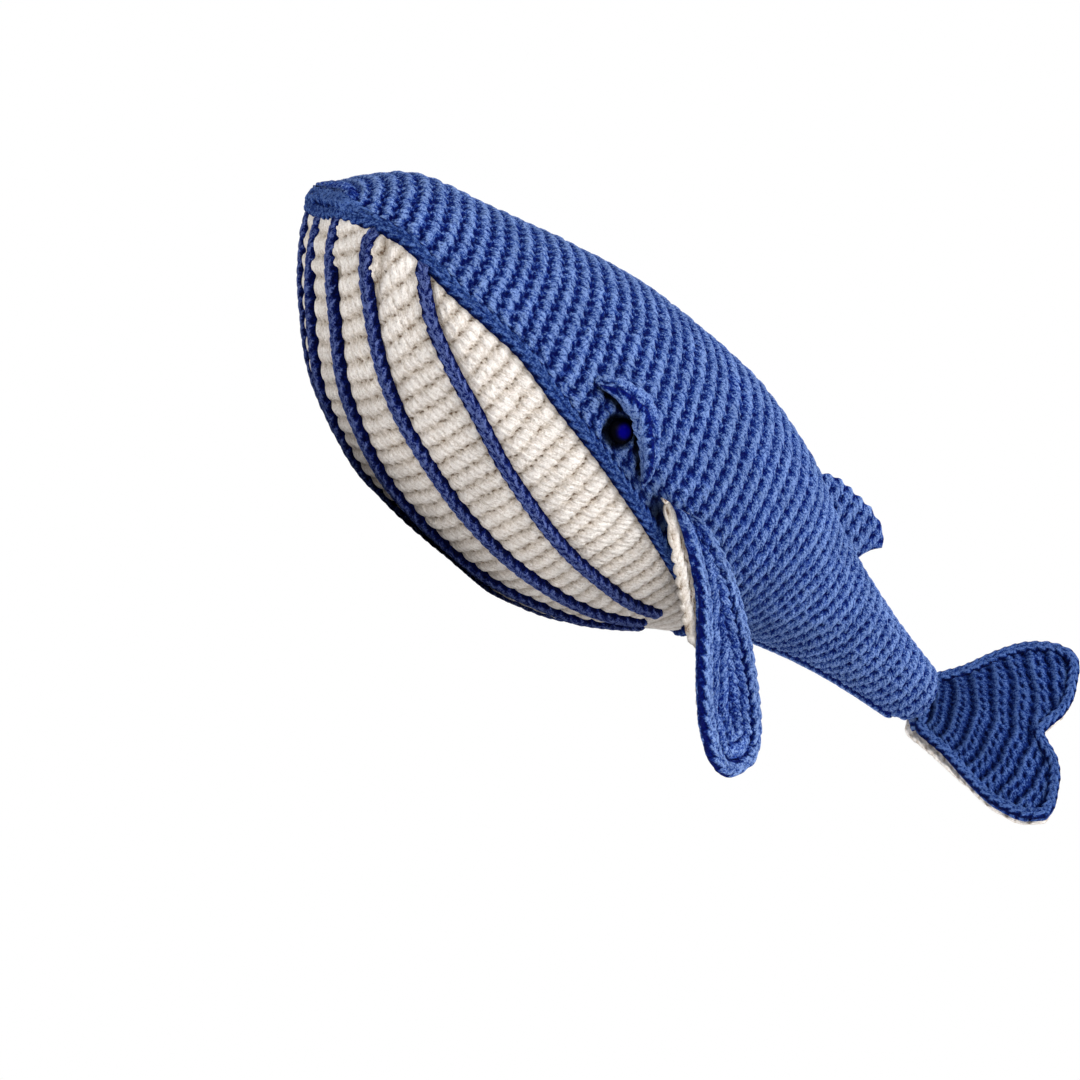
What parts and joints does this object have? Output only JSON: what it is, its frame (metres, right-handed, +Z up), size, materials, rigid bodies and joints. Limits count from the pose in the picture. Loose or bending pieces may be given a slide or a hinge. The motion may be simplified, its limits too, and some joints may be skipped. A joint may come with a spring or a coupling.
{
  "type": "crocheted plush whale",
  "caption": "Stuffed crochet whale lying on its belly: blue back, pleated cream belly panel, button eyes and sewn-on fins and fluke that flap.",
  "frame": {"origin": "centre of the bounding box, on the surface that the belly rests on", "axes": "+Z up, the head points along -X, the left flank faces -Y"},
  "size_m": [0.393, 0.1986, 0.1535],
  "materials": {
    "blue_yarn": "matt cotton yarn in single crochet",
    "cream_yarn": "matt cotton yarn in single crochet",
    "chain_yarn": "matt cotton yarn in surface chain stitch",
    "fibre_fill": "loose polyester fibre",
    "eye_gloss": "glossy dark blue",
    "washer_plastic": "plain moulded"
  },
  "bodies": {
    "body": {"back_cover": "blue_yarn", "belly_panel": "cream_yarn", "body_stuffing": "fibre_fill", "mouth_seam_chain": "chain_yarn", "pleat_chain_centre": "chain_yarn", "pleat_chain_left_inner": "chain_yarn", "pleat_chain_right_inner": "chain_yarn", "pleat_chain_left_middle": "chain_yarn", "pleat_chain_right_middle": "chain_yarn", "pleat_chain_left_outer": "chain_yarn", "pleat_chain_right_outer": "chain_yarn", "under_tail_seam": "blue_yarn", "left_eye": "eye_gloss", "right_eye": "eye_gloss", "left_eye_washer": "washer_plastic", "right_eye_washer": "washer_plastic", "left_eyelid": "blue_yarn", "right_eyelid": "blue_yarn"},
    "left_fin": {"left_fin_lining": "cream_yarn", "left_fin_outer": "blue_yarn", "left_fin_rim": "blue_yarn"},
    "right_fin": {"right_fin_lining": "cream_yarn", "right_fin_outer": "blue_yarn", "right_fin_rim": "blue_yarn"},
    "dorsal": {"dorsal_fin": "blue_yarn"},
    "fluke_root": {"fluke_stitching": "blue_yarn"},
    "fluke": {"fluke_lining": "cream_yarn", "fluke_top": "blue_yarn", "fluke_rim": "blue_yarn"}
  },
  "joints": [
    {"name": "left_fin_lift", "type": "hinge", "parent": "body", "child": "left_fin", "pos_m": [-0.03977, -0.08239, 0.06672], "axis": [-0.9699, -0.142, -0.1977], "range_deg": [0, 80]},
    {"name": "right_fin_lift", "type": "hinge", "parent": "body", "child": "right_fin", "pos_m": [-0.03977, 0.0422, 0.06672], "axis": [0.9699, -0.142, 0.1977], "range_deg": [-40, 40]},
    {"name": "dorsal_fin_lean", "type": "hinge", "parent": "body", "child": "dorsal", "pos_m": [0.0555, -0.02009, 0.1223], "axis": [0.9716, 0, -0.2368], "range_deg": [-20, 20]},
    {"name": "fluke_twist", "type": "hinge", "parent": "body", "child": "fluke_root", "pos_m": [0.15143, -0.02009, 0.08957], "axis": [0.9976, 0, 0.0698], "range_deg": [-90, 5]},
    {"name": "fluke_fold", "type": "hinge", "parent": "fluke_root", "child": "fluke", "pos_m": [0.15143, -0.02009, 0.08957], "axis": [0.0585, -0.5446, -0.8366], "range_deg": [-75, 12]}
  ]
}
